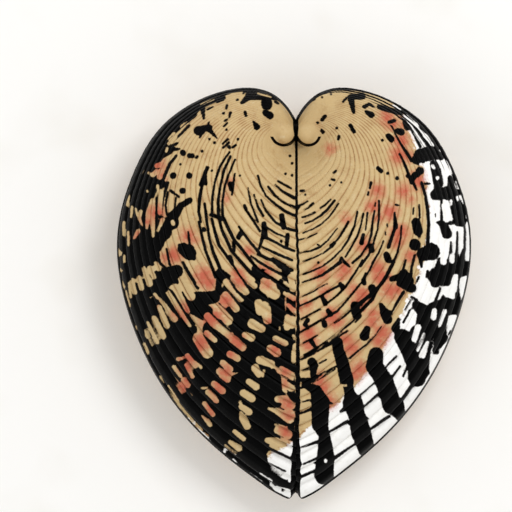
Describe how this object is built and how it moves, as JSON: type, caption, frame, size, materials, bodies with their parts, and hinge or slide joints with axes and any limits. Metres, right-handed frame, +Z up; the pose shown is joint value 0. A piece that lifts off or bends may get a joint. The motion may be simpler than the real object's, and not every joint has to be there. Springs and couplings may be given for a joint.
{
  "type": "heart cockle shell",
  "caption": "Closed pair of heart-shaped cockle valves with a keeled rim, low ribs, rolled beaks and dark fan-like bands, lying flat on its back face.",
  "frame": {"origin": "on the surface the shell rests on, under the middle of its outline", "axes": "+Z up out of the more swollen front face, +Y from the tip of the heart to the beaks, +X across the two valves, so that the seam lies in the plane X = 0"},
  "size_m": [0.0522, 0.06, 0.0258],
  "materials": {
    "spotted_shell": "semi-gloss tan shell with dark brown-black bands and red blotches",
    "dried_ligament": "dull dark brown horn"
  },
  "bodies": {
    "root": {"left_valve": "spotted_shell", "right_valve": "spotted_shell", "ligament": "dried_ligament"}
  },
  "joints": []
}
